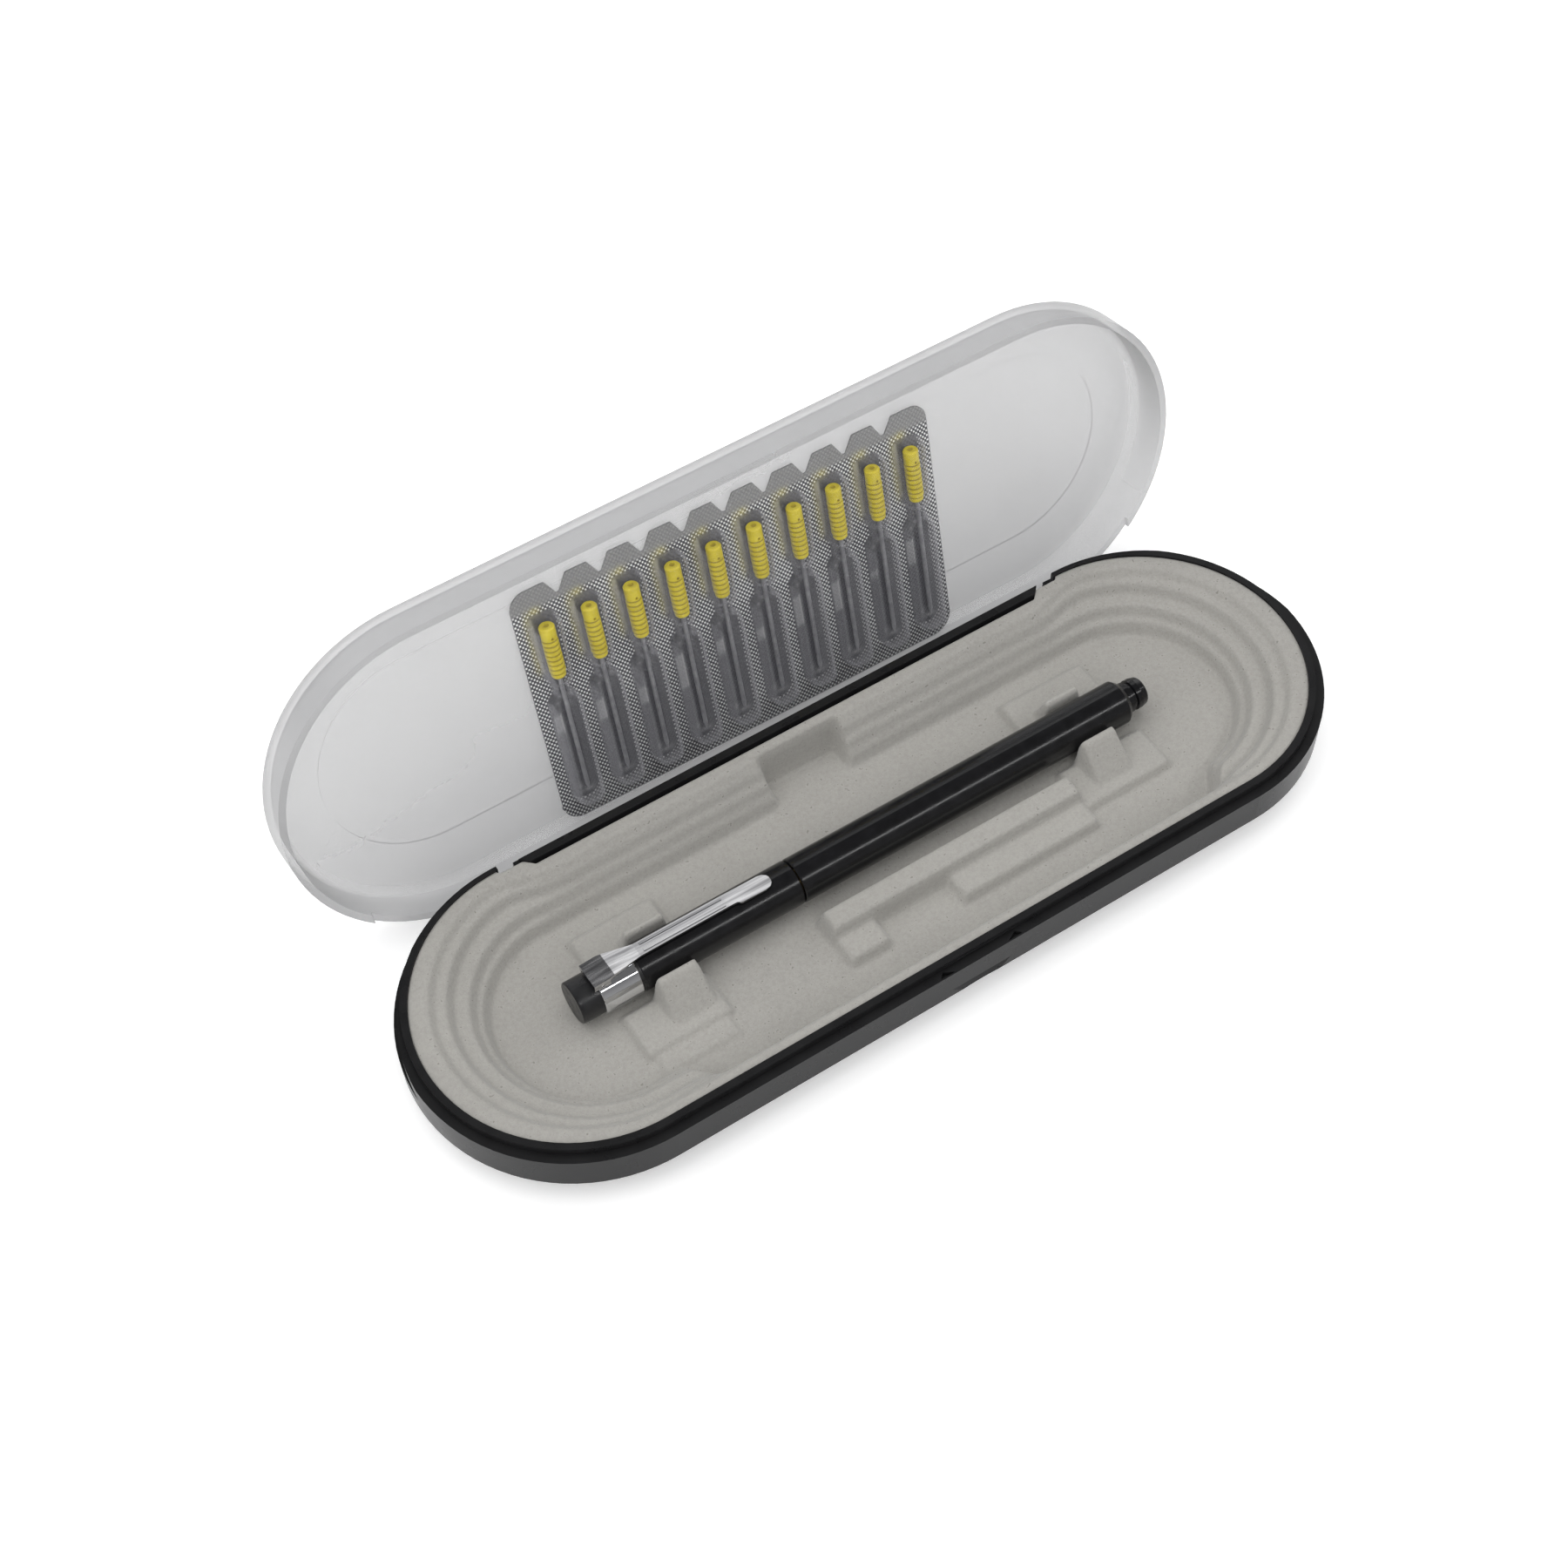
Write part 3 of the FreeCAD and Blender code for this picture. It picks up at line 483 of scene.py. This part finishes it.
def paint_pocket_reflection_shade(a, b):
    # painted highlights and painted shade on the foil behind each pocket, standing in for reflections and
    # shade in the pocket wall
    s = cell_offset(a)
    k = np.floor(a / PITCH + CELLS / 2)

    def spot(cs, cb, ws, wb):
        return np.exp(-((s - cs) / ws) ** 2 - ((b - cb) / wb) ** 2)

    low = smooth((b + 3.2) / 1.0)
    # painted shade: a darker band down the middle of the lower pocket
    base = 0.24 - 0.18 * window(s, -0.7, 1.3, 0.6) * low
    # painted highlight line down the left of the shaft pocket
    highlight_line = 0.5 * np.exp(-((s + 0.85) / 0.16) ** 2) * window(b, 0.5, 20.5, 1.5)
    # painted reflection patches at the left of the shaft pocket
    reflection_patch = 0.45 * window(s, -2.5, -0.9, 0.25) * window(b, 2.0 + 1.3 * (k % 3), 6.5 + 1.1 * (k % 4), 0.6)
    # painted highlights round the neck between the pockets
    bulb_highlight = 0.5 * spot(0.3, -1.4, 1.3, 0.7) + 0.5 * spot(-0.9, -0.2, 0.5, 0.5)
    bulb_highlight = bulb_highlight + 0.4 * spot(1.0, 0.9, 0.4, 0.8)
    # painted highlights at the foot of the shaft pocket
    foot = 0.6 * spot(0.5, 20.9, 1.3, 0.6) + 0.3 * spot(-0.6, 19.6, 0.8, 0.5)
    # painted cream reflection at the left of the hub pocket
    cream_reflection = 0.45 * window(s, -2.9, -1.7, 0.3) * window(b, -20.0, -8.0, 1.0)
    return np.clip(base + highlight_line + reflection_patch + bulb_highlight + foot + cream_reflection, 0, 1)


def card_columns():
    # grid lines down the strip, close together where the pocket walls turn
    half = np.array([0, 0.35, 0.7, 1.0, 1.25, 1.45, 1.55, 1.75, 2.0, 2.2, 2.4, 2.6, 2.75, 2.86, 2.93, 2.97,
                     3.1, 3.3, 3.55, 3.75, 3.95, 4.1])
    cell = np.concatenate([-half[::-1], half[1:]])
    cols = np.concatenate([cell + (i - (CELLS - 1) / 2) * PITCH for i in range(CELLS)])
    cols = np.concatenate([cols, [(i - CELLS / 2 + 1) * PITCH for i in range(CELLS - 1)]])
    w = CARD_W / 2
    ends = w - np.array([0, 0.04, 0.15, 0.35, 0.6, 0.8])
    return np.unique(np.round(np.concatenate([cols, ends, -ends]), 4))


def top_edge(a):
    # tear tabs parted by V notches, rounded at the two ends of the strip
    s = (a / PITCH + CELLS / 2) % 1.0
    s = np.minimum(s, 1 - s) * PITCH
    edge = CARD_TOP + TAB_H * (1 - np.clip((s - 0.25) / 1.85, 0, 1))
    w = CARD_W / 2
    plain = np.abs(a) > w - 3.6
    r = 3.4                     # corner radius beside the first and last tab
    over = np.clip(np.abs(a) - (w - r), 0, r)
    round_edge = CARD_TOP + r - np.sqrt(np.maximum(r * r - over * over, 0))
    return np.where(plain, round_edge, edge)


def low_edge(a):
    r = 4.0                     # corner radius at the foot of the strip
    over = np.clip(np.abs(a) - (CARD_W / 2 - r), 0, r)
    return CARD_LOW - r + np.sqrt(np.maximum(r * r - over * over, 0))


def card_grid():
    # grid over the strip: tabs, then the body with close rows at the pocket ends, then the foot
    cols = card_columns()
    upper = np.linspace(0, 1, 10)
    body = [-21.5, -21.0, -20.7, -20.5, -20.42, -20.36, -20.2, -20.0, -19.7, -19.3, -18.8, -18.2]
    body += list(np.arange(-17.5, -8.4, 0.9))
    body += [-8.2, -8.05, -7.9, -7.6, -7.2, -6.8, -6.4, -6.1, -5.9, -5.82, -5.76, -5.6, -5.2, -4.7, -4.2,
             -3.8, -3.5, -3.34, -3.28, -3.2, -3.0, -2.7, -2.4, -2.0, -1.6, -1.2, -0.9]
    body += list(np.arange(-0.4, 19.2, 0.98))
    body += [19.4, 19.9, 20.4, 20.8, 21.2, 21.5, 21.8, 22.0, 22.2, 22.32, 22.38, 22.44, 22.6]
    lower = np.linspace(0, 1, 8)[1:]
    rows = []
    for u in upper:
        t = top_edge(cols)
        rows.append(t + (body[0] - t) * u)
    for v in body[1:]:
        rows.append(np.full(cols.shape, v))
    for u in lower:
        rows.append(body[-1] + (low_edge(cols) - body[-1]) * u)
    b = np.stack(rows, 1)
    a = np.repeat(cols[:, None], b.shape[1], 1)
    return a, b


def make_card():
    a, b = card_grid()
    shape = a.shape
    faces = grid_faces(*shape)
    pieces = []
    sheets = (("blister_film", "blister", "blister_sheet", "blister_clear", True),
              ("foil_sheet", "foil", "foil_backing", "foil", False))
    for name, key, node, slot, front in sheets:
        z = FILM_Z - pocket_height(a, b) if front else np.zeros(shape)
        local = np.stack([a, b, z, np.ones(shape)], -1).reshape(-1, 4)
        # local points and the matrix are both in millimetres
        world = local @ CARD.T
        o = make_object(name, world[:, :3] * MM, faces if front else faces[:, ::-1], M[key])
        pieces.append((o, node, slot, front))
    for o, node, slot, front in pieces:
        me = o.data
        uv = me.uv_layers.new(name="card")
        loops = np.zeros(len(me.loops), np.int32)
        me.loops.foreach_get("vertex_index", loops)
        flat = np.stack([a.ravel() / 10, b.ravel() / 10], -1)[loops]
        uv.data.foreach_set("uv", flat.astype(np.float32).ravel())
        if not front:
            s = cell_offset(a)
            # masks for the foil: plain foil, painted pocket highlights and shade, tabs, and the painted
            # yellow hub reflection
            masks = {"plain": plain_mask(a, b), "pocket_reflection_shade": paint_pocket_reflection_shade(a, b),
                     "tab": smooth((-21.6 - b) / 1.2 + 0.5) * 0.9,
                     # painted yellow reflection of the hub, at its top and along the left of its pocket
                     "hub_reflection": 0.42 * np.exp(-((s + 0.9) / 1.1) ** 2 - ((b + 21.0) / 0.9) ** 2)
                     + 0.25 * np.exp(-((s + 2.6) / 0.8) ** 2) * window(b, -21.0, -8.0, 4.0)}
            for key, values in masks.items():
                att = me.attributes.new(key, "FLOAT", "POINT")
                att.data.foreach_set("value", values.astype(np.float32).ravel())
        thicken(o, (FILM_T if front else FOIL_T) * MM, 0 if front else 1)
        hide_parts(node)
        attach(o, "strip")


make_liner()
make_card()


# ------------------------------------------------------------------ floor, light, camera
def add_floor():
    bpy.ops.mesh.primitive_plane_add(size=6, location=(0, 0, 0))
    o = bpy.context.object
    o.name = "studio_floor"
    m, nt, b = new_mat("studio_floor_white")
    n = noise(nt, coords(nt), 3.0)
    nt.links.new(ramp(nt, n, [(0.3, (0.90, 0.90, 0.90)), (0.7, (0.93, 0.93, 0.93))]), b.inputs["Base Color"])
    b.inputs["Emission Color"].default_value = (1, 1, 1, 1)
    b.inputs["Emission Strength"].default_value = 0.3
    b.inputs["Roughness"].default_value = 0.9
    b.inputs["Specular IOR Level"].default_value = 0.1
    o.data.materials.append(m)


def add_area(name, pos, target, size, energy, glossy=True, size_y=None, diffuse=True):
    d = bpy.data.lights.new(name, "AREA")
    d.energy = energy
    d.size = size
    if size_y:
        d.shape = "RECTANGLE"
        d.size_y = size_y
    o = bpy.data.objects.new(name, d)
    scene.collection.objects.link(o)
    o.location = pos
    o.rotation_euler = (Vector(target) - Vector(pos)).to_track_quat("-Z", "Y").to_euler()
    o.visible_glossy = glossy
    o.visible_diffuse = diffuse


add_floor()
centre = (0, 0.02, 0.02)
add_area("key_soft", (-0.15, 0.10, 1.0), centre, 1.3, 9.8, False)
add_area("fill_front", (-0.5, -0.9, 0.8), centre, 0.9, 2.4, False)
add_area("fill_left", (-1.0, 0.1, 0.55), centre, 0.9, 3.0, False)
add_area("fill_right", (1.0, 0.1, 0.55), centre, 0.9, 2.7, False)
add_area("strip_front", (0.24, -0.51, 0.57), (0, 0, 0.01), 1.3, 1.6, True, 0.035)
add_area("panel_back", (0.35, 0.95, 0.55), centre, 2.0, 5.0, True, 1.1, False)

world = bpy.data.worlds.new("studio")
world.use_nodes = True
scene.world = world
nt = world.node_tree
bg = nt.nodes["Background"]
tc = nt.nodes.new("ShaderNodeTexCoord")
sep = nt.nodes.new("ShaderNodeSeparateXYZ")
nt.links.new(tc.outputs["Generated"], sep.inputs[0])
nt.links.new(ramp(nt, sep.outputs[2], [(0.0, (0.9, 0.9, 0.9)), (0.35, (0.75, 0.75, 0.76)),
                                       (0.75, (0.4, 0.4, 0.41)), (1.0, (0.4, 0.4, 0.4))]), bg.inputs[0])
bg.inputs[1].default_value = 0.36

AZ, EL, ROLL = math.radians(-31.039), math.radians(54.09), math.radians(-2.309)
back = Vector((math.sin(AZ) * math.cos(EL), -math.cos(AZ) * math.cos(EL), math.sin(EL)))
right = Vector((math.cos(AZ), math.sin(AZ), 0))
upv = back.cross(right)
rx = math.cos(ROLL) * right + math.sin(ROLL) * upv
ux = -math.sin(ROLL) * right + math.cos(ROLL) * upv
cam_data = bpy.data.cameras.new("view_camera")
cam_data.sensor_width = 36.0
cam_data.lens = 2788.59 / 1800 * 36.0
cam_data.clip_start, cam_data.clip_end = 0.01, 20.0
cam = bpy.data.objects.new("view_camera", cam_data)
scene.collection.objects.link(cam)
pos = Vector((-8.761, 16.593, RIM)) * MM + back * 0.43552
cam.matrix_world = Matrix(((rx.x, ux.x, back.x, pos.x), (rx.y, ux.y, back.y, pos.y),
                           (rx.z, ux.z, back.z, pos.z), (0, 0, 0, 1)))
scene.camera = cam
scene.view_settings.view_transform = "Standard"
